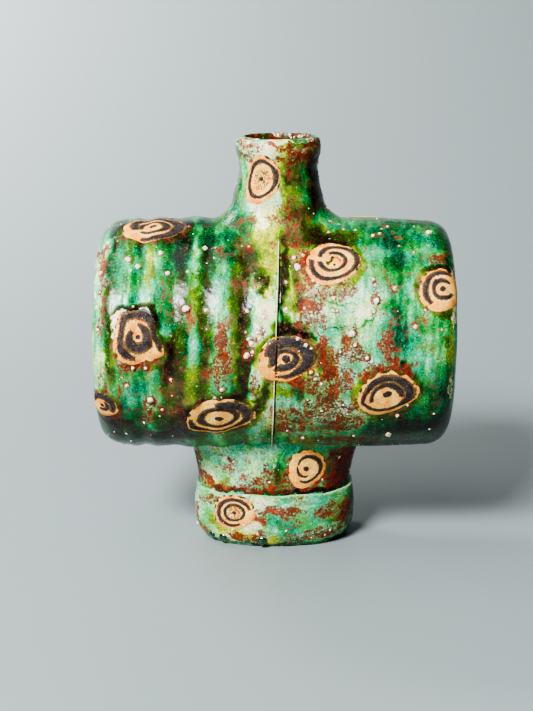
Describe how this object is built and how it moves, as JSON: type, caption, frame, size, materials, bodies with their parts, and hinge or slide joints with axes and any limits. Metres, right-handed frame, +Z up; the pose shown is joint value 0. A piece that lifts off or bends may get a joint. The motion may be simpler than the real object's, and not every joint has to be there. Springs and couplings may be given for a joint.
{
  "type": "flower vase",
  "caption": "Cocoon-shaped flower vase: a horizontal lapped drum on an oval banded foot, with a short lipped neck and spiral clay roundels pressed on all round.",
  "frame": {"origin": "on the floor, under the middle of the foot, at the middle of the whole vase seen from above", "axes": "+Z up through the neck, +X to the right along the drum seen from the front, -Y towards the front that the picture shows"},
  "size_m": [0.212, 0.1425, 0.24],
  "materials": {
    "left_glaze": "glossy copper-green lead glaze, streaked along the throwing ribs",
    "right_glaze": "glossy mottled mint and copper-green glaze with iron-red patches",
    "neck_glaze": "glossy olive, green and brown runs, cream on the lip",
    "foot_glaze": "glossy mint and iron-red glaze",
    "band_glaze": "glossy mint glaze, cream on its edge",
    "buff_clay": "matt sandy buff clay",
    "dark_clay": "matt charcoal clay",
    "white_grit": "white grit, half melted in the glaze",
    "glaze_bead": "glassy dark green bead"
  },
  "bodies": {
    "root": {"dark_coil_back_left": "dark_clay", "dark_coil_back_lower_left": "dark_clay", "dark_coil_back_lower_right": "dark_clay", "dark_coil_back_middle": "dark_clay", "dark_coil_back_right": "dark_clay", "dark_coil_foot": "dark_clay", "dark_coil_foot_back": "dark_clay", "dark_coil_left": "dark_clay", "dark_coil_left_edge": "dark_clay", "dark_coil_lower_left": "dark_clay", "dark_coil_lower_right": "dark_clay", "dark_coil_middle": "dark_clay", "dark_coil_neck": "dark_clay", "dark_coil_right_edge": "dark_clay", "dark_coil_stem": "dark_clay", "dark_coil_top_left": "dark_clay", "dark_coil_top_right": "dark_clay", "dark_coil_upper_right": "dark_clay", "drip_far_left": "glaze_bead", "drip_front": "glaze_bead", "drip_left": "glaze_bead", "foot_band": "band_glaze", "foot_stem": "foot_glaze", "grit_01": "white_grit", "grit_02": "white_grit", "grit_03": "white_grit", "grit_04": "white_grit", "grit_05": "white_grit", "grit_06": "white_grit", "grit_07": "white_grit", "grit_08": "white_grit", "grit_09": "white_grit", "grit_10": "white_grit", "grit_11": "white_grit", "grit_12": "white_grit", "grit_13": "white_grit", "left_drum_half": "left_glaze", "neck": "neck_glaze", "right_drum_half": "right_glaze", "roundel_back_left": "buff_clay", "roundel_back_lower_left": "buff_clay", "roundel_back_lower_right": "buff_clay", "roundel_back_middle": "buff_clay", "roundel_back_right": "buff_clay", "roundel_foot": "buff_clay", "roundel_foot_back": "buff_clay", "roundel_left": "buff_clay", "roundel_left_edge": "buff_clay", "roundel_lower_left": "buff_clay", "roundel_lower_right": "buff_clay", "roundel_middle": "buff_clay", "roundel_neck": "buff_clay", "roundel_right_edge": "buff_clay", "roundel_stem": "buff_clay", "roundel_top_left": "buff_clay", "roundel_top_right": "buff_clay", "roundel_upper_right": "buff_clay"}
  },
  "joints": []
}
